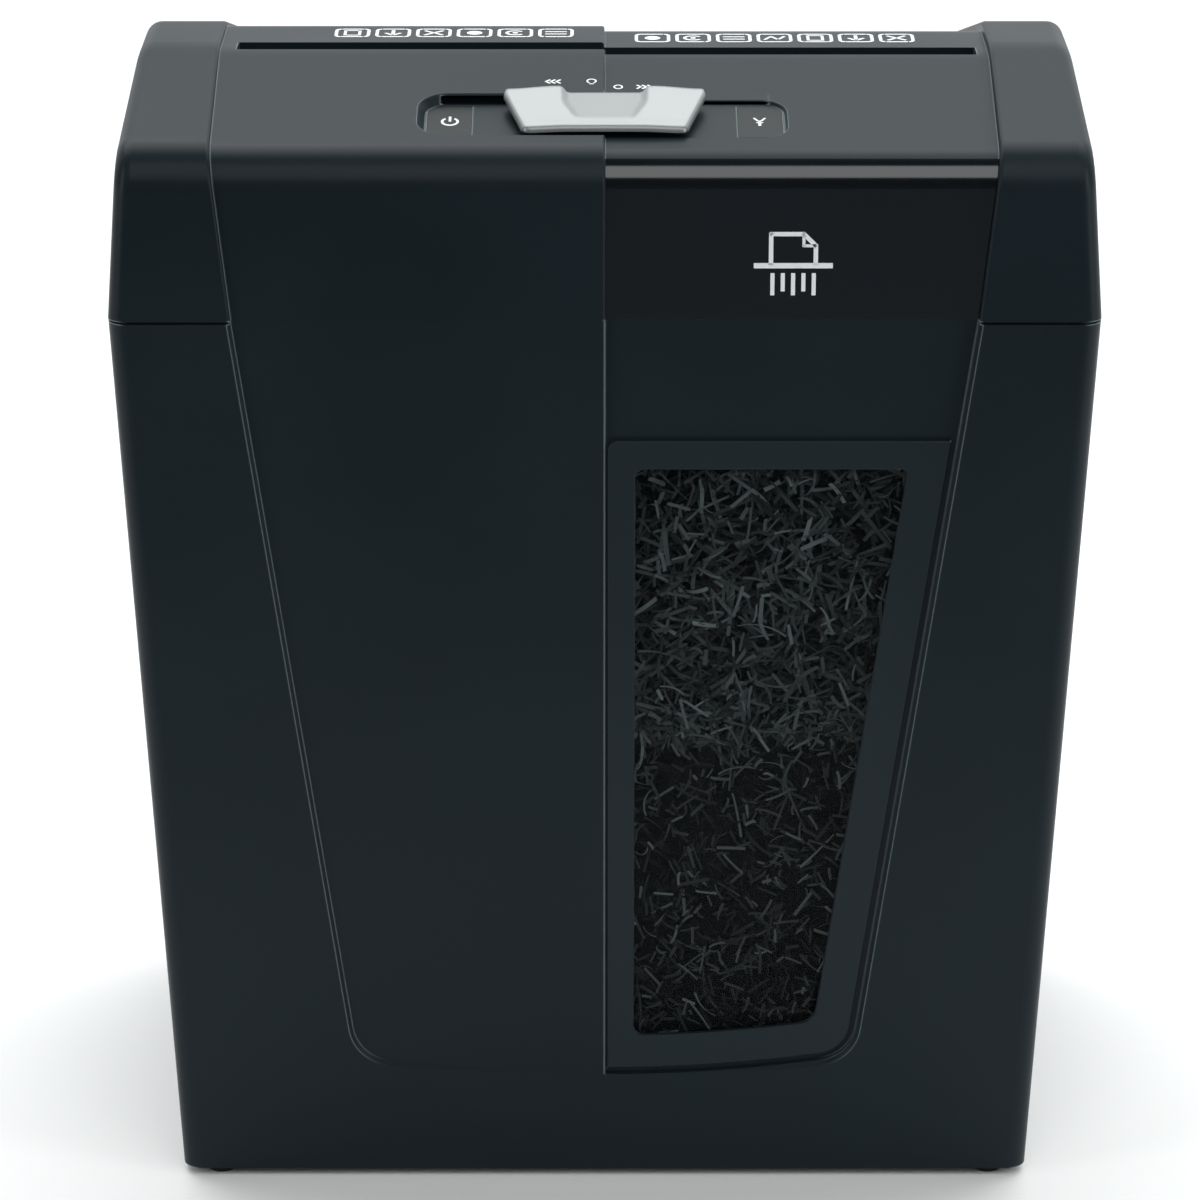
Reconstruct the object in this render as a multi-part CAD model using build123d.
"""Compact cross-cut paper shredder: a lift-off shredding head on a waste bin with a window.

Millimetres, +Z up, front towards -Y, origin at the middle of the footprint on the floor.
Every physical piece is written to its own STEP file, already in its place.
"""
import os
from math import acos, atan2, cos, degrees, pi, radians, sin, sqrt, tan

from build123d import *

# ---------------------------------------------------------------- driving dimensions
FOOT_HEIGHT = 3.0
FOOT_RADIUS = 4.6
SEAM_Z = 281.0             # parting line between the bin and the head
SEAM_GAP = 0.8             # open shadow line between the two
TOP_HALF_X = 145.0         # half size at the seam
TOP_HALF_Y = 100.0
BOTTOM_HALF_X = 131.6      # half size at the floor of the bin
BOTTOM_HALF_Y = 90.0
BIN_CORNER = 6.0
WALL = 2.5

PANEL_STEP = 1.5           # the wings and caps stand proud of the left panel
MIDDLE_STEP = 1.6          # the left panel stands proud of the right panel
U_TOP_HALF = 109.0         # half width of the U outline at the seam
U_SLOPE = 0.1363           # how fast the U outline narrows downwards
U_CORNER_Z = 41.5
U_BOTTOM_Z = 35.0
U_CORNER_RADIUS = 13.0

WINDOW_TOP_Z = 244.0
APERTURE_LEFT = 9.0
APERTURE_TOP_Z = 235.0
APERTURE_RIGHT_GAP = 13.2  # from the aperture to the U outline
PANE_THICKNESS = 2.0
PANE_MARGIN = 3.5

HEAD_BOTTOM = SEAM_Z + SEAM_GAP / 2
HEAD_OUTLINE = [           # (y, z) corners of the head seen from the side
    (-100.0, HEAD_BOTTOM),
    (-100.0, 331.3),
    (-28.0, 346.3),
    (5.0, 346.3),
    (100.0, 320.0),
    (100.0, HEAD_BOTTOM),
]
HEAD_RADII = [0.0, 14.0, 50.0, 16.0, 14.0, 0.0]
FASCIA_CORNER = 10.0
CAP_INNER_SLOPE = 0.105
CAP_OUTER_SLOPE = 0.075
FASCIA_THICKNESS = 1.5
FASCIA_END_Y = -93.0

SLOT_FRONT_Y = -25.6
SLOT_BACK_Y = -17.0
SLOT_LEFT_X = -110.7
SLOT_RIGHT_X = 112.0

POCKET_DEPTH = 4.1         # floor of the switch pocket below the cap surface
POCKET_HALF_X = 52.8
POCKET_FRONT_Y = -82.0
POCKET_BACK_Y = -58.6
POCKET_LENGTH = POCKET_BACK_Y - POCKET_FRONT_Y
GROOVE_HALF_X = 48.5       # dark groove along the back wall of the pocket
LENS_X = (39.0, 52.0)
LENS_THICKNESS = 1.6
LEVER_TRAVEL = 8.0
STEM_HALF_X = 12.0
SLIT_HALF_X = STEM_HALF_X + LEVER_TRAVEL + 1.0
SLIT_S = (8.0, 11.4)       # slit in the pocket floor, measured up the slope from its middle
SWITCH_BOSS_X = 53.5

COVER_BOSSES = [(-128, -80), (128, -80), (-128, 84), (128, 88), (-40, -86), (40, -86), (-60, 86)]
VENT_COUNT = 12
VENT_PITCH = 7.0
VENT_WIDTH = 3.2
GLAND_X = -92.0
GLAND_Z = 298.0

BASIN_X = (-120.0, 134.0)
BASIN_Y = (-64.0, 26.0)
GEAR_WELL_X = (108.0, 134.0)
GEAR_WELL_Y = 80.0
BASIN_FLOOR = 254.0
FLANGE_TOP = HEAD_BOTTOM + WALL
PLUNGER_X = -128.0
PLUNGER_Y = 56.0
INTERLOCK_POST_Z = 277.5
FLAG_PIN = (-6.4, 322.0)   # (y, z) axis of the feed flag

SHAFT_Z = 288.0
FRONT_SHAFT_Y = -37.0
SHAFT_SPACING = 34.0
DISC_RADIUS = 19.0
DISC_COUNT = 28
DISC_PITCH = 7.9
DISC_THICKNESS = 3.85
SPACER_RADIUS = 14.5
HEX_FLATS = 16.0
JOURNAL = 12.0
PLATE_X = 112.5
PLATE_THICKNESS = 2.0

GEAR_PLANE_A = (115.4, 119.4)
GEAR_PLANE_B = (120.2, 124.2)
GEAR_PLANE_C = (125.2, 129.2)
IDLER_PIN = 5.0
MOTOR_RADIUS = 17.4
MOTOR_LENGTH = 58.0
MOTOR_BACK = PLATE_X - MOTOR_LENGTH
MOTOR_SCREW_REACH = 12.5
TIE_RODS = [(-56, 275), (-56, 301), (18, 275), (18, 301)]

REAR_SHAFT_Y = FRONT_SHAFT_Y + SHAFT_SPACING
REAR_SHAFT = (REAR_SHAFT_Y, SHAFT_Z)
FRONT_SHAFT = (FRONT_SHAFT_Y, SHAFT_Z)


def polar_step(start, length, angle):
    """Point at a length and an angle in degrees from a (y, z) start."""
    return (start[0] + length * cos(radians(angle)), start[1] + length * sin(radians(angle)))


SECOND_IDLER = polar_step(REAR_SHAFT, 36.0, 25.0)
FIRST_IDLER = polar_step(SECOND_IDLER, 27.5, -35.0)
MOTOR_AXIS = polar_step(FIRST_IDLER, 24.5, 35.0)


# ---------------------------------------------------------------- small helpers
def box_between(low, high):
    """Solid box from its lowest to its highest corner."""
    size = [b - a for a, b in zip(low, high)]
    middle = [(a + b) / 2 for a, b in zip(low, high)]
    return Pos(*middle) * Box(*size)


def rod_x(x_from, x_to, centre, radius):
    """Round bar along X at a (y, z) centre."""
    face = Plane((x_from, centre[0], centre[1]), x_dir=(0, 1, 0), z_dir=(1, 0, 0)) * Circle(radius)
    return extrude(face, amount=x_to - x_from)


def rod_z(x, y, z_from, z_to, radius):
    """Round upright bar."""
    return extrude(Pos(x, y, z_from) * Circle(radius), amount=z_to - z_from)


def slab_x(points, x_from, x_to):
    """Polygon of (y, z) corners, extruded along X."""
    face = Plane((x_from, 0, 0), x_dir=(0, 1, 0), z_dir=(1, 0, 0)) * make_face(Polyline(*points, close=True))
    return extrude(face, amount=x_to - x_from)


def inset_corners(points, distance):
    """Corners of an open outline moved inwards, the first and last points keeping their height."""
    lines = []
    for (y0, z0), (y1, z1) in zip(points[:-1], points[1:]):
        length = sqrt((y1 - y0) ** 2 + (z1 - z0) ** 2)
        along = ((y1 - y0) / length, (z1 - z0) / length)
        lines.append((y0 + along[1] * distance, z0 - along[0] * distance, along))
    corners = [(lines[0][0], points[0][1])]
    for (y0, z0, a), (y1, z1, b) in zip(lines[:-1], lines[1:]):
        cross = a[0] * b[1] - a[1] * b[0]
        reach = ((y1 - y0) * b[1] - (z1 - z0) * b[0]) / cross
        corners.append((y0 + a[0] * reach, z0 + a[1] * reach))
    corners.append((lines[-1][0], points[-1][1]))
    return corners


def save(name, shape):
    """Write one node; a list becomes a group of separate solids."""
    if isinstance(shape, list):
        shape = Compound(children=[solid for item in shape for solid in item.solids()])
    else:
        solids = shape.solids()
        shape = solids[0] if len(solids) == 1 else Compound(children=list(solids))
    export_step(shape, os.path.join("parts", name + ".step"))
    print(name, len(shape.solids()), round(shape.volume, 1))


# ---------------------------------------------------------------- bin
def half_x(z):
    return BOTTOM_HALF_X + (z - FOOT_HEIGHT) * (TOP_HALF_X - BOTTOM_HALF_X) / (SEAM_Z - FOOT_HEIGHT)


def half_y(z):
    return BOTTOM_HALF_Y + (z - FOOT_HEIGHT) * (TOP_HALF_Y - BOTTOM_HALF_Y) / (SEAM_Z - FOOT_HEIGHT)


def tapered_block(z_low, z_high, inset):
    """Block between two heights that follows the taper of the bin."""
    rings = []
    for z in (z_low, z_high):
        outline = RectangleRounded(2 * (half_x(z) - inset), 2 * (half_y(z) - inset), BIN_CORNER - inset / 2)
        rings.append(Pos(0, 0, z) * outline)
    return loft(rings)


def front_plane(depth):
    """Plane parallel to the front of the bin, its origin at the seam, z towards the viewer."""
    tilt = atan2(TOP_HALF_Y - BOTTOM_HALF_Y, SEAM_Z - FOOT_HEIGHT)
    normal = Vector(0, -cos(tilt), -sin(tilt))
    return Plane(Vector(0, -TOP_HALF_Y, SEAM_Z) - normal * depth, x_dir=(1, 0, 0), z_dir=normal)


def u_face(grow):
    """U outline of the inner panels in the front plane, grown outwards."""
    top = 12.0
    corner_v = U_CORNER_Z - SEAM_Z
    corner_x = U_TOP_HALF + U_SLOPE * corner_v
    top_x = U_TOP_HALF + U_SLOPE * top
    outline = [
        Polyline((-corner_x, corner_v), (-top_x, top), (top_x, top), (corner_x, corner_v)),
        ThreePointArc((corner_x, corner_v), (0, U_BOTTOM_Z - SEAM_Z), (-corner_x, corner_v)),
    ]
    face = make_face(outline)
    face = fillet(face.vertices().sort_by(Axis.Y)[:2], U_CORNER_RADIUS)
    if grow:
        face = offset(face, amount=grow)
    return face


def half_plane_face(left, right):
    """Tall rectangle between two x values in the front plane."""
    return Pos((left + right) / 2, -120) * Rectangle(right - left, 300)


def panel_pocket(left, right, depth, draft):
    """Shallow pocket of the U outline between two x values, with sloping walls."""
    floor = u_face(0) & half_plane_face(left, right)
    if not draft:
        return extrude(front_plane(depth) * floor, amount=depth + 2)
    mouth = u_face(draft) & half_plane_face(left, right)
    return loft([front_plane(depth) * floor, front_plane(0) * mouth])


def toe_scoop():
    """Very shallow hollow under the panels, which makes their lower edge stand proud."""
    radius = 1000.0
    depth = 1.9
    lift = -degrees(atan2(depth, U_CORNER_Z - 2 * FOOT_HEIGHT))
    deepest = front_plane(depth) * Pos(0, U_CORNER_Z - SEAM_Z, 0)
    drum = deepest * Rot(lift, 0, 0) * Pos(0, 0, radius) * Rot(90, 0, 0) * Cylinder(radius, 160)
    reach = extrude(front_plane(6) * Pos(0, 25 - SEAM_Z) * Rectangle(180, 50), amount=10)
    return (drum & reach) - extrude(front_plane(10) * u_face(0), amount=20)


def window_face(grow):
    """Outline of the window frame in the front plane."""
    u_edge = u_face(-2.0 + grow)
    top = WINDOW_TOP_Z - SEAM_Z + grow
    area = Pos(75 + 0.8 - grow, top - 120) * Rectangle(150, 240)
    face = u_edge & area
    corner = [v for v in face.vertices() if abs(v.Y - top) < 0.01 and v.X < 5]
    return fillet(corner, 3.0)


def aperture_face(grow):
    """Outline of the clear window opening in the front plane."""
    inner = u_face(-APERTURE_RIGHT_GAP + grow)
    top = APERTURE_TOP_Z - SEAM_Z + grow
    face = inner & (Pos(75 + APERTURE_LEFT - grow, top - 120) * Rectangle(150, 240))
    left_corners = [v for v in face.vertices() if v.X < APERTURE_LEFT + 1]
    face = fillet(left_corners, 3.0)
    right_top = [v for v in face.vertices() if abs(v.Y - top) < 0.01 and v.X > 40]
    face = fillet(right_top, 1.5)
    right_bottom = [v for v in face.vertices() if v.Y < top - 100 and v.X > 40]
    if len(right_bottom) == 1:
        face = fillet(right_bottom, 6.0)
    return face


def bin_shell():
    """Waste bin: tapered tub with stepped front panels, a window opening and a stepped rim."""
    outer = tapered_block(FOOT_HEIGHT, SEAM_Z + SEAM_GAP / 2, 0)
    shell = outer - panel_pocket(-150, 150, PANEL_STEP, 1.2)
    shell -= panel_pocket(0, 150, PANEL_STEP + MIDDLE_STEP, 0)
    shell -= toe_scoop()
    cavity = tapered_block(FOOT_HEIGHT + WALL, SEAM_Z + 5, WALL)
    pad_depth = PANEL_STEP + MIDDLE_STEP + WALL
    cavity -= extrude(front_plane(pad_depth) * u_face(3.0), amount=pad_depth + 2)
    shell -= cavity
    hole_depth = pad_depth + 4
    shell -= extrude(front_plane(hole_depth) * aperture_face(PANE_MARGIN + 0.3), amount=hole_depth)
    rim_cut = tapered_block(SEAM_Z - SEAM_GAP / 2, SEAM_Z + 5, -5) - tapered_block(SEAM_Z - 5, SEAM_Z + 8, 1.2)
    rim_cut -= extrude(front_plane(PANEL_STEP + MIDDLE_STEP + 1.2) * u_face(0), amount=-20)
    return shell - rim_cut


def bin_posts():
    """Upright rib inside the bin that presses the interlock plunger when the head is on."""
    return box_between((-141.4, 54, 200), (-124, 58, INTERLOCK_POST_Z))


def window_frame():
    """Frame that fills the lower right panel around the window."""
    front = PANEL_STEP + 0.1
    back = PANEL_STEP + MIDDLE_STEP
    plate = extrude(front_plane(back) * (window_face(0) - aperture_face(0)), amount=back - front)
    face = front_plane(front)
    front_edges = [e for e in plate.edges() if abs((e @ 0.5 - face.origin).dot(face.z_dir)) < 0.01]
    return fillet(front_edges, 0.5)


def window_pane():
    """Clear pane held behind the frame."""
    back = PANEL_STEP + MIDDLE_STEP + PANE_THICKNESS
    return extrude(front_plane(back) * aperture_face(PANE_MARGIN), amount=PANE_THICKNESS)


def rubber_feet():
    feet = []
    for x in (-1, 1):
        for y in (-1, 1):
            foot = rod_z(x * 120.0, y * 82.6, 0, FOOT_HEIGHT, FOOT_RADIUS)
            feet.append(fillet(foot.edges().sort_by(Axis.Z)[0], 1.0))
    return feet


# ---------------------------------------------------------------- head cover
def head_solid(x_from, x_to, inset, corner_radius):
    """Head outline moved inwards and extruded along X."""
    corners = inset_corners(HEAD_OUTLINE, inset)
    radii = list(HEAD_RADII)
    radii[1] = corner_radius
    radii[4] = HEAD_RADII[4] - inset
    face = make_face(FilletPolyline(*corners, radius=radii, close=True))
    plane = Plane((x_from, 0, 0), x_dir=(0, 1, 0), z_dir=(1, 0, 0))
    return extrude(plane * face, amount=x_to - x_from)


def cap_inner_plane(grow):
    """Slanting plane between the right cap and the middle, normal towards the middle."""
    angle = atan2(CAP_INNER_SLOPE, 1)
    return Plane((U_TOP_HALF - grow, 0, HEAD_BOTTOM), x_dir=(0, 1, 0), z_dir=(-cos(angle), 0, sin(angle)))


def cap_outer_plane(inset):
    """Slanting outer side of the right cap, normal outwards."""
    angle = atan2(CAP_OUTER_SLOPE, 1)
    return Plane((TOP_HALF_X - inset, 0, HEAD_BOTTOM), x_dir=(0, 1, 0), z_dir=(cos(angle), 0, sin(angle)))


def edges_on(solid, plane):
    """Edges that lie on a plane, without those on the bottom of the head."""
    found = []
    for edge in solid.edges():
        ends = [edge @ 0.0, edge @ 0.5, edge @ 1.0]
        on_plane = all(abs((p - plane.origin).dot(plane.z_dir)) < 0.01 for p in ends)
        if on_plane and not all(abs(p.Z - HEAD_BOTTOM) < 0.01 for p in ends):
            found.append(edge)
    return found


def right_cap():
    """Solid right end of the head with rounded borders."""
    cap = head_solid(100, 150, 0, HEAD_RADII[1])
    cap = split(cap, bisect_by=cap_outer_plane(0), keep=Keep.BOTTOM)
    cap = split(cap, bisect_by=cap_inner_plane(0), keep=Keep.BOTTOM)
    cap = fillet(edges_on(cap, cap_outer_plane(0)), 5.0)
    return fillet(edges_on(cap, cap_inner_plane(0)), 1.2)


def head_outside():
    """Outer form of the head cover before it is hollowed."""
    cap = right_cap()
    left = head_solid(-120, 0, PANEL_STEP, HEAD_RADII[1] - PANEL_STEP)
    left = fillet(edges_on(left, Plane.YZ), 0.8)
    right_inset = PANEL_STEP + MIDDLE_STEP
    right = head_solid(-0.5, 120, right_inset, FASCIA_CORNER)
    seat_inset = right_inset + FASCIA_THICKNESS + 0.05
    fascia_room = head_solid(0.05, 140, 0, 1.0) - head_solid(-1, 141, seat_inset, FASCIA_CORNER - FASCIA_THICKNESS)
    fascia_room &= box_between((0.05, -150, 200), (140, FASCIA_END_Y + 0.05, 400))
    right -= fascia_room
    return left + right + cap + mirror(cap, about=Plane.YZ)


def head_cavity():
    """Room inside the head cover."""
    left = head_solid(-119, 0, PANEL_STEP + 2.4, 8.0)
    right = head_solid(-0.5, 119, PANEL_STEP + MIDDLE_STEP + FASCIA_THICKNESS + 2.3, 4.0)
    side = split(head_solid(118, 150, WALL, 10.0), bisect_by=cap_outer_plane(WALL), keep=Keep.BOTTOM)
    return left + right + side + mirror(side, about=Plane.YZ)


def slope_plane(height):
    """Plane of the sloping front top, origin at the middle of the switch pocket, above the cap surface."""
    (y0, z0), (y1, z1) = HEAD_OUTLINE[1], HEAD_OUTLINE[2]
    angle = atan2(z1 - z0, y1 - y0)
    middle_y = (POCKET_FRONT_Y + POCKET_BACK_Y) / 2
    surface_z = z0 + (middle_y - y0) * tan(angle)
    normal = Vector(0, -sin(angle), cos(angle))
    return Plane(Vector(0, middle_y, surface_z) + normal * height, x_dir=(1, 0, 0), z_dir=normal)


def pocket_floor_face(shrink):
    return RectangleRounded(2 * (POCKET_HALF_X - shrink), POCKET_LENGTH - 2 * shrink, 7.0 - shrink)


def slope_box(x_low, s_low, h_low, x_high, s_high, h_high):
    """Box in the frame of the switch pocket: across, up the slope, above the cap surface."""
    size = (x_high - x_low, s_high - s_low, h_high - h_low)
    middle = ((x_low + x_high) / 2, (s_low + s_high) / 2, (h_low + h_high) / 2)
    return slope_plane(0) * Pos(*middle) * Box(*size)


def lens_face(shrink):
    """Outline of the right indicator lens on the pocket floor."""
    room = pocket_floor_face(0.3 + shrink)
    middle = (LENS_X[0] + LENS_X[1]) / 2
    width = LENS_X[1] - LENS_X[0] - 2 * shrink
    return room & (Pos(middle, 0) * Rectangle(width, POCKET_LENGTH - 3.0 - 2 * shrink))


def head_cover():
    """Top housing of the head with caps, feed slot and switch pocket."""
    outside = head_outside()
    cover = outside - head_cavity()
    cover += slope_box(-58, -15, -6.4, 58, 18, -3.9) & outside
    for x, y in COVER_BOSSES:
        boss = rod_z(x, y, HEAD_BOTTOM + WALL, 340, 3.6) & outside
        cover += boss
        cover -= rod_z(x, y, HEAD_BOTTOM + WALL - 1, HEAD_BOTTOM + 16, 1.5)
    for x in (-SWITCH_BOSS_X, SWITCH_BOSS_X):
        cover += slope_plane(-12.9) * Pos(x, 1, 0) * Cylinder(3.0, 15.0)
        cover -= slope_plane(-16) * Pos(x, 1, 0) * Cylinder(1.25, 9.0)
    cover -= extrude(slope_plane(-POCKET_DEPTH) * pocket_floor_face(0), amount=6, taper=-40)
    cover -= slope_box(-SLIT_HALF_X, SLIT_S[0], -12, SLIT_HALF_X, SLIT_S[1], -2)
    cover -= slope_box(-GROOVE_HALF_X, 11.6, -5.6, 0, 16.5, -PANEL_STEP - 0.5)
    cover -= slope_box(0, 11.6, -5.6, GROOVE_HALF_X, 16.5, -PANEL_STEP - MIDDLE_STEP - 0.3)
    lens_room = extrude(slope_plane(-POCKET_DEPTH - LENS_THICKNESS) * lens_face(-0.1), amount=3)
    light_hole = slope_box(42, -5, -12, 47, 5, -3)
    for tool in (lens_room, light_hole):
        cover -= tool
        cover -= mirror(tool, about=Plane.YZ)
    cover -= box_between((SLOT_LEFT_X, SLOT_FRONT_Y, 330), (SLOT_RIGHT_X, SLOT_BACK_Y, 360))
    for i in range(VENT_COUNT):
        x = 18 + i * VENT_PITCH
        cover -= box_between((x, 88, 292), (x + VENT_WIDTH, 105, 312))
    gland_face = Plane((GLAND_X, 70, GLAND_Z), x_dir=(1, 0, 0), z_dir=(0, 1, 0)) * Circle(5.1)
    return cover - extrude(gland_face, amount=40)


def gloss_fascia():
    """Glossy plate on the right half of the front."""
    inset = PANEL_STEP + MIDDLE_STEP
    plate = head_solid(0.2, 118, inset, FASCIA_CORNER)
    plate -= head_solid(-1, 119, inset + FASCIA_THICKNESS, FASCIA_CORNER - FASCIA_THICKNESS)
    plate &= box_between((0.2, -150, 200), (118, FASCIA_END_Y, 400))
    return split(plate, bisect_by=cap_inner_plane(0.15), keep=Keep.TOP)


def indicator_lenses():
    lens = extrude(slope_plane(-POCKET_DEPTH - LENS_THICKNESS) * lens_face(0), amount=LENS_THICKNESS)
    return [lens, mirror(lens, about=Plane.YZ)]


# ---------------------------------------------------------------- selector
def selector_lever():
    """Broad sliding thumb lever with raised ends and a dished middle."""
    base = Polyline((-23.4, -14.0), (23.4, -14.0), (29.4, 10.6), (-29.4, 10.6), close=True)
    body = extrude(slope_plane(-POCKET_DEPTH + 0.5) * make_face(base), amount=6.4)
    upright = [e for e in body.edges() if abs((e @ 0 - e @ 1).normalized().dot(slope_plane(0).z_dir)) > 0.99]
    body = fillet(upright, 3.5)
    dish = extrude(slope_plane(2.2) * make_face(Polyline(
        (-14.5, 30), (-11.5, -4), (-9.0, -9.5), (9.0, -9.5), (11.5, -4), (14.5, 30), close=True)),
        amount=-2.6, taper=20)
    body -= dish
    body -= slope_box(-40, -30, 1.2, 40, -9.0, 20)
    return body - slope_box(-40, -30, -10, 40, -10.6, -1.1)


def selector_carriage():
    """Stem that joins the lever to the slide switch through the slit."""
    stem = slope_box(-STEM_HALF_X, SLIT_S[0] + 0.4, -14.0, STEM_HALF_X, SLIT_S[1] - 0.4, -POCKET_DEPTH + 0.5)
    return stem + slope_box(-3, SLIT_S[0] + 0.4, -18.0, 3, SLIT_S[1] - 0.4, -13.9)


def switch_board():
    """Small circuit board under the pocket."""
    board = slope_box(-56, -12, -22.0, 56, 14, -20.4)
    for x in (-SWITCH_BOSS_X, SWITCH_BOSS_X):
        board -= slope_plane(-21) * Pos(x, 1, 0) * Cylinder(1.4, 6)
    return board


def selector_switch():
    """Slide switch on the small board, with a groove for the carriage nub."""
    body = slope_box(-22, SLIT_S[0] - 3.0, -20.4, 22, SLIT_S[1] + 3.0, -14.6)
    return body - slope_box(-12.5, SLIT_S[0] + 0.1, -18.4, 12.5, SLIT_S[1] - 0.1, -10)


def status_leds():
    leds = []
    for x in (-44.5, 44.5):
        stem = slope_plane(-20.4) * Pos(x, 0, 4.0) * Cylinder(2.5, 8.0)
        dome = slope_plane(-12.4) * Pos(x, 0, 0) * Sphere(2.5)
        leds.append(stem + dome)
    return leds


def switch_board_screws():
    screws = []
    for x in (-SWITCH_BOSS_X, SWITCH_BOSS_X):
        head = slope_plane(-22.8) * Pos(x, 1, 0) * Cylinder(2.4, 1.6)
        shank = slope_plane(-18.5) * Pos(x, 1, 0) * Cylinder(1.2, 7)
        screws.append(head + shank)
    return screws


# ---------------------------------------------------------------- head base
def head_base():
    """Base of the head: a flange on the bin rim and a basin with the exit opening."""
    flange = box_between((-142.0, -92.8, HEAD_BOTTOM), (142.0, 92.8, FLANGE_TOP))
    basin = box_between((BASIN_X[0], BASIN_Y[0], BASIN_FLOOR), (BASIN_X[1], BASIN_Y[1], FLANGE_TOP))
    well = box_between((GEAR_WELL_X[0], 0, BASIN_FLOOR), (GEAR_WELL_X[1], GEAR_WELL_Y, FLANGE_TOP))
    low = (BASIN_X[0] + 2, BASIN_Y[0] + 2, BASIN_FLOOR + 2)
    base = flange + basin + well
    base -= box_between(low, (BASIN_X[1] - 2, BASIN_Y[1] - 2, 300))
    well_low = (GEAR_WELL_X[0] + 2, 0, BASIN_FLOOR + 2)
    base -= box_between(well_low, (GEAR_WELL_X[1] - 2, GEAR_WELL_Y - 2, 300))
    base -= box_between((-109, -41, 240), (109, 1, 300))
    for x, y in COVER_BOSSES:
        base -= rod_z(x, y, 270, 290, 1.6)
    base -= rod_z(PLUNGER_X, PLUNGER_Y, 270, 290, 3.1)
    for x in (-113.5, 113.5):
        for y in (-56, 18):
            pad = box_between((x - 4, y - 5, BASIN_FLOOR + 2), (x + 4, y + 5, 266))
            base += pad - box_between((x - 1.05, y - 8, 262), (x + 1.05, y + 8, 270))
    for x in (-104, -46):
        for y in (42, 72):
            base += rod_z(x, y, FLANGE_TOP, 290, 3.0)
    base += box_between((PLUNGER_X - 8, PLUNGER_Y + 9, FLANGE_TOP), (PLUNGER_X + 8, PLUNGER_Y + 13, 306))
    return base


def feed_chute():
    """Paper guide from the slot down to the cutters."""
    top_z = 336.0
    foot_z = 306.5
    outer = [(-29.6, top_z), (-11.0, top_z), (-13.0, foot_z), (-27.0, foot_z)]
    inner = [
        (SLOT_FRONT_Y, top_z + 1),
        (SLOT_BACK_Y, top_z + 1),
        (SLOT_BACK_Y - 0.2, foot_z - 1),
        (SLOT_FRONT_Y + 2.6, foot_z - 1),
    ]
    chute = slab_x(outer, -112.3, 112.3) - slab_x(inner, -110.8, 110.8)
    chute -= box_between((-3, SLOT_BACK_Y - 3.0, 300), (3, 0, 328))
    for side in (-1, 1):
        chute += box_between((side * 5 - 1.5, FLAG_PIN[0] - 8, 317), (side * 5 + 1.5, FLAG_PIN[0] + 5, 327))
    return chute - rod_x(-8, 8, FLAG_PIN, 1.0)


def feed_flag():
    """Rocking arm that feels the paper in the chute."""
    hub = rod_x(-3, 3, FLAG_PIN, 3.0)
    y, z = FLAG_PIN
    arm_corners = [(0, -1.8), (0, 1.4), (-14.6, -3.0), (-15.4, -5.2), (-13.6, -6.4)]
    tail_corners = [(1, -1.5), (1, 1.5), (10.0, 2.5), (10.0, 0.5)]
    arm = slab_x([(y + dy, z + dz) for dy, dz in arm_corners], -1.2, 1.2)
    tail = slab_x([(y + dy, z + dz) for dy, dz in tail_corners], -1.2, 1.2)
    return (hub + arm + tail) - rod_x(-8, 8, FLAG_PIN, 1.05)


def feed_switch():
    """Microswitch above the tail of the feed flag."""
    y = FLAG_PIN[0]
    body = box_between((-9, y + 5.0, 330.2), (9, y + 11.5, 337.8))
    return body + box_between((-1.5, y + 7.5, 329.2), (1.5, y + 9.5, 330.3))


def interlock_plunger():
    """Spring-loaded pin that feels the bin."""
    pin = rod_z(PLUNGER_X, PLUNGER_Y, INTERLOCK_POST_Z, 300, 2.9)
    collar = rod_z(PLUNGER_X, PLUNGER_Y, FLANGE_TOP + 3.4, FLANGE_TOP + 5.4, 4.6)
    return pin + collar


def interlock_switch():
    """Microswitch beside the plunger tip."""
    body = box_between((PLUNGER_X - 9, PLUNGER_Y + 2, 306.2), (PLUNGER_X + 9, PLUNGER_Y + 13, 313))
    return body + box_between((PLUNGER_X - 2, PLUNGER_Y - 3, 302), (PLUNGER_X + 2, PLUNGER_Y + 3, 306.3))


def plunger_spring():
    path = Helix(pitch=2.2, height=11.0, radius=4.0)
    wire = sweep(Plane(origin=path @ 0, z_dir=path % 0) * Circle(0.4), path=path)
    return Pos(PLUNGER_X, PLUNGER_Y, FLANGE_TOP + 5.9) * wire


def cord_gland():
    """Grommet for the mains lead in the rear wall."""
    def ring(y_from, y_to, radius):
        return extrude(Plane((GLAND_X, y_from, GLAND_Z), x_dir=(1, 0, 0), z_dir=(0, 1, 0)) * Circle(radius),
                       amount=y_to - y_from)
    body = ring(90.0, 99.0, 5.0) + ring(98.55, 99.9, 8.0) + ring(91.5, 93.5, 7.5)
    return body - ring(80, 120, 3.6)


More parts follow.
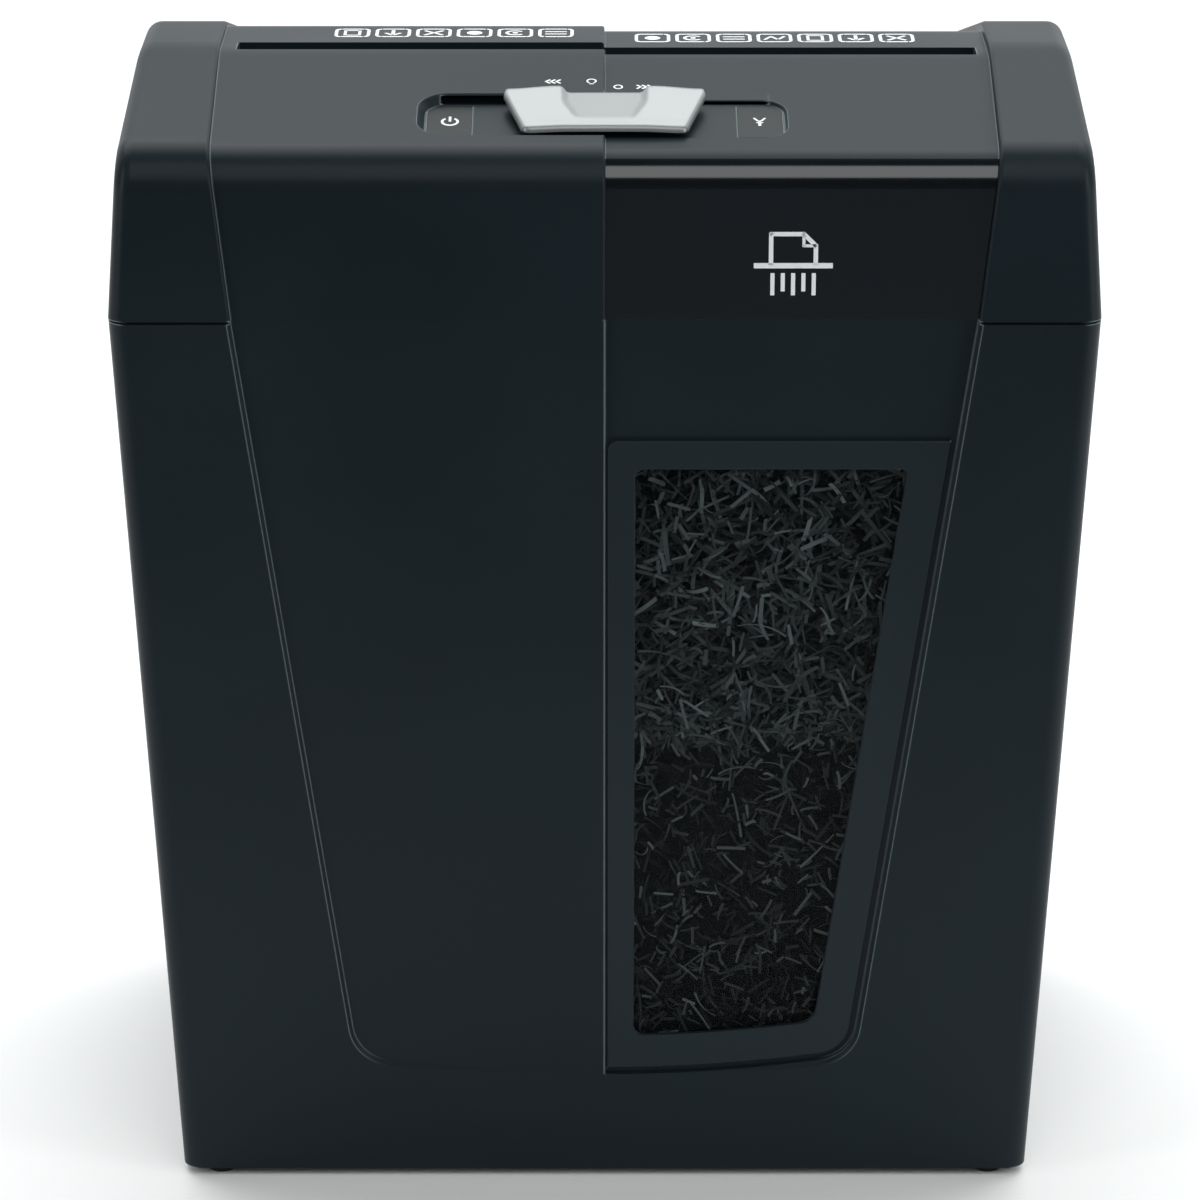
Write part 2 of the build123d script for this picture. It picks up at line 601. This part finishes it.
# ---------------------------------------------------------------- cutting block
def side_plate(side):
    """Steel plate that carries the cutter shafts; the right one carries the gear train as well."""
    if side < 0:
        points = [(-62, 262), (-62, 312), (-54, 318), (18, 318), (24, 312), (24, 262)]
    else:
        points = [(-62, 262), (-62, 312), (-54, 318), (20, 324), (62, 322), (86, 314), (91, 308), (91, 286),
                  (76, 286), (76, 262)]
    low_x = side * PLATE_X if side > 0 else -PLATE_X - PLATE_THICKNESS
    plate = slab_x(points, low_x, low_x + PLATE_THICKNESS)
    holes = [(FRONT_SHAFT, 8.0), (REAR_SHAFT, 8.0)] + [(rod, 2.1) for rod in TIE_RODS]
    if side > 0:
        holes += [(SECOND_IDLER, IDLER_PIN / 2), (FIRST_IDLER, IDLER_PIN / 2), (MOTOR_AXIS, 5.6)]
        holes += [((MOTOR_AXIS[0] + dy, MOTOR_AXIS[1]), 1.6) for dy in (-MOTOR_SCREW_REACH, MOTOR_SCREW_REACH)]
    for centre, radius in holes:
        plate -= rod_x(low_x - 1, low_x + PLATE_THICKNESS + 1, centre, radius)
    return plate


def tie_rods():
    rods = []
    for centre in TIE_RODS:
        rod = rod_x(-PLATE_X, PLATE_X, centre, 3.0)
        for end in (-1, 1):
            rod -= rod_x(end * PLATE_X - 8, end * PLATE_X + 8, centre, 2.0)
        rods.append(rod)
    return rods


def plate_screws():
    screws = []
    for centre in TIE_RODS:
        for side in (-1, 1):
            outer = PLATE_X + PLATE_THICKNESS
            shank = rod_x(PLATE_X - 7, outer, centre, 1.95)
            head = rod_x(outer, outer + 2.2, centre, 3.6) - rod_x(outer + 1, outer + 3, centre, 1.3)
            screw = shank + head
            screws.append(screw if side > 0 else mirror(screw, about=Plane.YZ))
    return screws


def shaft_bushes():
    bushes = []
    for centre in (FRONT_SHAFT, REAR_SHAFT):
        bush = rod_x(111.4, 112.5, centre, 9.5) + rod_x(112.5, 115.0, centre, 8.0)
        bush -= rod_x(110, 116, centre, JOURNAL / 2 + 0.03)
        bushes += [bush, mirror(bush, about=Plane.YZ)]
    return bushes


def cutter_shaft(centre, right_end):
    """Hexagonal shaft with round journals."""
    hexagon = Plane((-110.9, centre[0], centre[1]), x_dir=(0, 1, 0), z_dir=(1, 0, 0))
    hexagon = extrude(hexagon * RegularPolygon(HEX_FLATS / 2, 6, major_radius=False), amount=221.8)
    return hexagon + rod_x(-116.0, right_end, centre, JOURNAL / 2)


def disc_centres(shift):
    return [(i - (DISC_COUNT - 1) / 2) * DISC_PITCH + shift for i in range(DISC_COUNT)]


def cutter_discs(centre, shift, turn):
    """Row of toothed discs; each one is turned a little further than the one before."""
    discs = []
    profile = Circle(DISC_RADIUS) - RegularPolygon(HEX_FLATS / 2 + 0.02, 6, major_radius=False)
    for k in range(4):
        notch = make_face(Polyline((15.6, 0), (20.5, -0.6), (20.5, 8.5), (17.9, 6.4), close=True))
        profile -= Rot(0, 0, 90 * k) * notch
    blank = extrude(profile, amount=DISC_THICKNESS)
    for i, x in enumerate(disc_centres(shift)):
        place = Plane((x - DISC_THICKNESS / 2, centre[0], centre[1]), x_dir=(0, 1, 0), z_dir=(1, 0, 0))
        discs.append(place * Rot(0, 0, turn * 60 * (i % 6)) * blank)
    return discs


def shaft_spacers(centre, shift):
    spacers = []
    profile = Circle(SPACER_RADIUS) - RegularPolygon(HEX_FLATS / 2 + 0.02, 6, major_radius=False)
    blank = extrude(profile, amount=DISC_PITCH - DISC_THICKNESS)
    for x in disc_centres(shift)[:-1]:
        place = Plane((x + DISC_THICKNESS / 2, centre[0], centre[1]), x_dir=(0, 1, 0), z_dir=(1, 0, 0))
        spacers.append(place * blank)
    return spacers


def stripper_plates(centre, shift, side):
    """Plates between the discs, threaded on two tie rods, that clear the cut paper."""
    rods = [rod for rod in TIE_RODS if (rod[0] - centre[0]) * side > 0]
    rod_y = rods[0][0]
    thickness = 3.4
    near = centre[0] + side * 4.0
    points = [(rod_y + side * 4.5, 271), (rod_y + side * 4.5, 305), (near, 305), (near, 271)]
    blank = slab_x(points, 0, thickness) - rod_x(-1, 5, centre, SPACER_RADIUS + 0.6)
    for rod in rods:
        blank -= rod_x(-1, 5, rod, 3.05)
    keep = [s for s in blank.solids() if s.volume > 50]
    blank = max(keep, key=lambda s: s.volume)
    gap = (DISC_PITCH - thickness) / 2
    return [Pos(x + gap, 0, 0) * blank for x in disc_centres(shift)[:-1]]


# ---------------------------------------------------------------- gears
def involute_gear(teeth, module, thin):
    """Gear face on the XY plane with a tooth centred on +X; thin narrows the teeth for backlash."""
    pitch_r = teeth * module / 2
    base_r = pitch_r * cos(radians(20))
    tip_r = pitch_r + 0.85 * module
    root_r = pitch_r - 1.25 * module
    pressure = tan(radians(20)) - radians(20)
    half_tooth = pi / (2 * teeth) * (1 - thin) + pressure
    flank = []
    start_r = max(base_r, root_r)
    for k in range(5):
        r = start_r + (tip_r - start_r) * k / 4
        roll = acos(min(1.0, base_r / r))
        flank.append((r, half_tooth - (tan(roll) - roll)))
    outline = []
    for tooth in range(teeth):
        middle = 2 * pi * tooth / teeth
        root_angle = flank[0][1]
        outline.append((root_r, middle - root_angle))
        outline += [(r, middle - a) for r, a in flank]
        outline += [(r, middle + a) for r, a in reversed(flank)]
        outline.append((root_r, middle + root_angle))
    points = [(r * cos(a), r * sin(a)) for r, a in outline]
    clean = []
    for before, point in zip([points[-1]] + points[:-1], points):
        if sqrt((point[0] - before[0]) ** 2 + (point[1] - before[1]) ** 2) > 1e-4:
            clean.append(point)
    return make_face(Polyline(*clean, close=True))


def gear_x(planes, centre, teeth, module, turn, thin=0.14):
    """Gear on an axis along X, turned by an angle in degrees."""
    place = Plane((planes[0], centre[0], centre[1]), x_dir=(0, 1, 0), z_dir=(1, 0, 0))
    return extrude(place * Rot(0, 0, turn) * involute_gear(teeth, module, thin), amount=planes[1] - planes[0])


def mesh_turn(driver_turn, driver_teeth, driven_teeth, angle):
    """Turn of a gear that meshes with a driver lying at an angle from it to the driven one."""
    driver_phase = (angle - driver_turn) * driver_teeth / 360
    return angle + 180 - (0.5 - driver_phase % 1) * 360 / driven_teeth


FRONT_SYNC_TURN = 0.0
REAR_SYNC_TURN = mesh_turn(FRONT_SYNC_TURN, 17, 17, 0.0)
FINAL_TURN = 0.0
SECOND_PINION_TURN = mesh_turn(FINAL_TURN, 36, 12, 25.0)
SECOND_WHEEL_TURN = 0.0
FIRST_PINION_TURN = mesh_turn(SECOND_WHEEL_TURN, 44, 11, -35.0)
FIRST_WHEEL_TURN = 0.0
MOTOR_PINION_TURN = mesh_turn(FIRST_WHEEL_TURN, 60, 10, 35.0)


def front_sync_gear():
    return gear_x(GEAR_PLANE_A, FRONT_SHAFT, 17, 2.0, FRONT_SYNC_TURN) - rod_x(110, 130, FRONT_SHAFT, JOURNAL / 2)


def rear_sync_gear():
    return gear_x(GEAR_PLANE_A, REAR_SHAFT, 17, 2.0, REAR_SYNC_TURN) - rod_x(110, 130, REAR_SHAFT, JOURNAL / 2)


def final_gear():
    return gear_x(GEAR_PLANE_B, REAR_SHAFT, 36, 1.5, FINAL_TURN) - rod_x(110, 130, REAR_SHAFT, JOURNAL / 2)


def second_idler():
    """Compound gear between the first idler and the final gear."""
    gear = gear_x(GEAR_PLANE_B, SECOND_IDLER, 12, 1.5, SECOND_PINION_TURN)
    gear += gear_x(GEAR_PLANE_C, SECOND_IDLER, 44, 1.0, SECOND_WHEEL_TURN)
    gear += rod_x(115.0, GEAR_PLANE_C[1], SECOND_IDLER, 4.6)
    return gear - rod_x(110, 132, SECOND_IDLER, IDLER_PIN / 2 + 0.05)


def first_idler():
    """Compound gear between the motor and the second idler."""
    gear = gear_x(GEAR_PLANE_A, FIRST_IDLER, 60, 0.7, FIRST_WHEEL_TURN)
    gear += gear_x(GEAR_PLANE_C, FIRST_IDLER, 11, 1.0, FIRST_PINION_TURN)
    gear += rod_x(GEAR_PLANE_A[0], GEAR_PLANE_C[1], FIRST_IDLER, 4.0)
    return gear - rod_x(110, 132, FIRST_IDLER, IDLER_PIN / 2 + 0.05)


def idler_pins():
    """Steel pins riveted into the right side plate."""
    pins = []
    for centre in (SECOND_IDLER, FIRST_IDLER):
        pin = rod_x(PLATE_X, 131.6, centre, IDLER_PIN / 2)
        pins.append(pin - (rod_x(129.9, 130.7, centre, 4) - rod_x(129, 132, centre, 2.0)))
    return pins


def retaining_clips():
    return [rod_x(129.95, 130.65, c, 4.2) - rod_x(129, 132, c, 2.0) for c in (SECOND_IDLER, FIRST_IDLER)]


# ---------------------------------------------------------------- motor
def motor_can():
    can = rod_x(MOTOR_BACK, PLATE_X, MOTOR_AXIS, MOTOR_RADIUS)
    can -= rod_x(MOTOR_BACK - 1, PLATE_X - 1.6, MOTOR_AXIS, MOTOR_RADIUS - 1.2)
    can += rod_x(PLATE_X, PLATE_X + 1.8, MOTOR_AXIS, 5.5)
    can -= rod_x(100, 120, MOTOR_AXIS, 1.65)
    for dy in (-MOTOR_SCREW_REACH, MOTOR_SCREW_REACH):
        can -= rod_x(PLATE_X - 3, PLATE_X + 1, (MOTOR_AXIS[0] + dy, MOTOR_AXIS[1]), 1.5)
    return can


def motor_magnets():
    shell = rod_x(70, 106, MOTOR_AXIS, MOTOR_RADIUS - 1.25) - rod_x(69, 107, MOTOR_AXIS, 13.4)
    y, z = MOTOR_AXIS
    gap = box_between((60, y - 3, z - 25), (110, y + 3, z + 25))
    return list((shell - gap).solids())


def motor_end_cap():
    cap = rod_x(MOTOR_BACK - 2.5, MOTOR_BACK, MOTOR_AXIS, MOTOR_RADIUS)
    cap += rod_x(MOTOR_BACK, MOTOR_BACK + 4, MOTOR_AXIS, MOTOR_RADIUS - 1.25)
    cap += rod_x(MOTOR_BACK - 5, MOTOR_BACK - 2, MOTOR_AXIS, 5.0)
    return cap - rod_x(MOTOR_BACK - 6, MOTOR_BACK + 5, MOTOR_AXIS, 1.65)


def motor_rotor():
    core = rod_x(72, 104, MOTOR_AXIS, 12.9)
    for k in range(5):
        centre = polar_step(MOTOR_AXIS, 10.5, 72 * k)
        core -= rod_x(71, 105, centre, 1.9)
    return core + rod_x(MOTOR_BACK - 4, GEAR_PLANE_A[1], MOTOR_AXIS, 1.6) + rod_x(61, 68, MOTOR_AXIS, 5.0)


def motor_pinion():
    return gear_x(GEAR_PLANE_A, MOTOR_AXIS, 10, 0.7, MOTOR_PINION_TURN) - rod_x(110, 130, MOTOR_AXIS, 1.6)


def motor_screws():
    screws = []
    for dy in (-MOTOR_SCREW_REACH, MOTOR_SCREW_REACH):
        centre = (MOTOR_AXIS[0] + dy, MOTOR_AXIS[1])
        outer = PLATE_X + PLATE_THICKNESS
        screw = rod_x(PLATE_X - 3, outer, centre, 1.45) + rod_x(outer, outer + 0.8, centre, 2.7)
        screws.append(screw)
    return screws


# ---------------------------------------------------------------- electrics
def control_board():
    board = box_between((-110, 36, 290), (-40, 78, 291.6))
    for x in (-104, -46):
        for y in (42, 72):
            board -= rod_z(x, y, 285, 295, 1.4)
    return board


def board_components():
    parts = [
        fillet(box_between((-98, 46, 291.6), (-84, 64, 305)).edges().filter_by(Axis.Z), 0.8),
        fillet(box_between((-80, 46, 291.6), (-66, 64, 305)).edges().filter_by(Axis.Z), 0.8),
        rod_z(-57, 58, 291.6, 308, 5.0),
        box_between((-104, 48, 291.6), (-100.5, 62, 299)),
    ]
    parts += [rod_z(-92 + 8 * i, 72, 291.6, 298, 2.4) for i in range(4)]
    return parts


def terminal_block():
    block = box_between((-74, 37, 291.6), (-52, 45.5, 301))
    for i in range(3):
        block -= rod_z(-69.5 + 6.5 * i, 41, 296, 302, 1.8)
    return block


def cover_screws():
    screws = []
    for x, y in COVER_BOSSES:
        head = rod_z(x, y, HEAD_BOTTOM - 2.0, HEAD_BOTTOM, 3.0) - rod_z(x, y, HEAD_BOTTOM - 3, HEAD_BOTTOM - 1, 1.2)
        screws.append(head + rod_z(x, y, HEAD_BOTTOM, HEAD_BOTTOM + 13, 1.45))
    return screws


def board_screws():
    return [rod_z(x, y, 291.6, 293.2, 2.4) for x in (-104, -46) for y in (42, 72)]


# ---------------------------------------------------------------- write every node
def main():
    os.makedirs("parts", exist_ok=True)
    save("bin_shell", bin_shell() + bin_posts())
    save("window_frame", window_frame())
    save("window_pane", window_pane())
    save("rubber_feet", rubber_feet())
    save("head_cover", head_cover())
    save("gloss_fascia", gloss_fascia())
    save("indicator_lenses", indicator_lenses())
    save("head_base", head_base())
    save("feed_chute", feed_chute())
    save("cord_gland", cord_gland())
    save("cover_screws", cover_screws())
    save("selector_lever", selector_lever())
    save("selector_carriage", selector_carriage())
    save("selector_switch", selector_switch())
    save("switch_board", switch_board())
    save("switch_board_screws", switch_board_screws())
    save("status_leds", status_leds())
    save("side_plate_left", side_plate(-1))
    save("side_plate_right", side_plate(1))
    save("tie_rods", tie_rods())
    save("plate_screws", plate_screws())
    save("shaft_bushes", shaft_bushes())
    save("front_cutter_shaft", cutter_shaft(FRONT_SHAFT, GEAR_PLANE_A[1]))
    save("rear_cutter_shaft", cutter_shaft(REAR_SHAFT, GEAR_PLANE_B[1]))
    save("front_cutter_discs", cutter_discs(FRONT_SHAFT, -DISC_PITCH / 4, 1))
    save("rear_cutter_discs", cutter_discs(REAR_SHAFT, DISC_PITCH / 4, -1))
    save("front_spacers", shaft_spacers(FRONT_SHAFT, -DISC_PITCH / 4))
    save("rear_spacers", shaft_spacers(REAR_SHAFT, DISC_PITCH / 4))
    save("front_stripper_plates", stripper_plates(FRONT_SHAFT, -DISC_PITCH / 4, -1))
    save("rear_stripper_plates", stripper_plates(REAR_SHAFT, DISC_PITCH / 4, 1))
    save("front_sync_gear", front_sync_gear())
    save("rear_sync_gear", rear_sync_gear())
    save("final_gear", final_gear())
    save("second_idler", second_idler())
    save("first_idler", first_idler())
    save("idler_pins", idler_pins())
    save("retaining_clips", retaining_clips())
    save("motor_can", motor_can())
    save("motor_magnets", motor_magnets())
    save("motor_end_cap", motor_end_cap())
    save("motor_rotor", motor_rotor())
    save("motor_pinion", motor_pinion())
    save("motor_screws", motor_screws())
    save("feed_flag", feed_flag())
    save("flag_pin", rod_x(-8, 8, FLAG_PIN, 1.0))
    save("feed_switch", feed_switch())
    save("interlock_plunger", interlock_plunger())
    save("plunger_spring", plunger_spring())
    save("interlock_switch", interlock_switch())
    save("control_board", control_board())
    save("board_components", board_components())
    save("terminal_block", terminal_block())
    save("board_screws", board_screws())


if __name__ == "__main__":
    main()
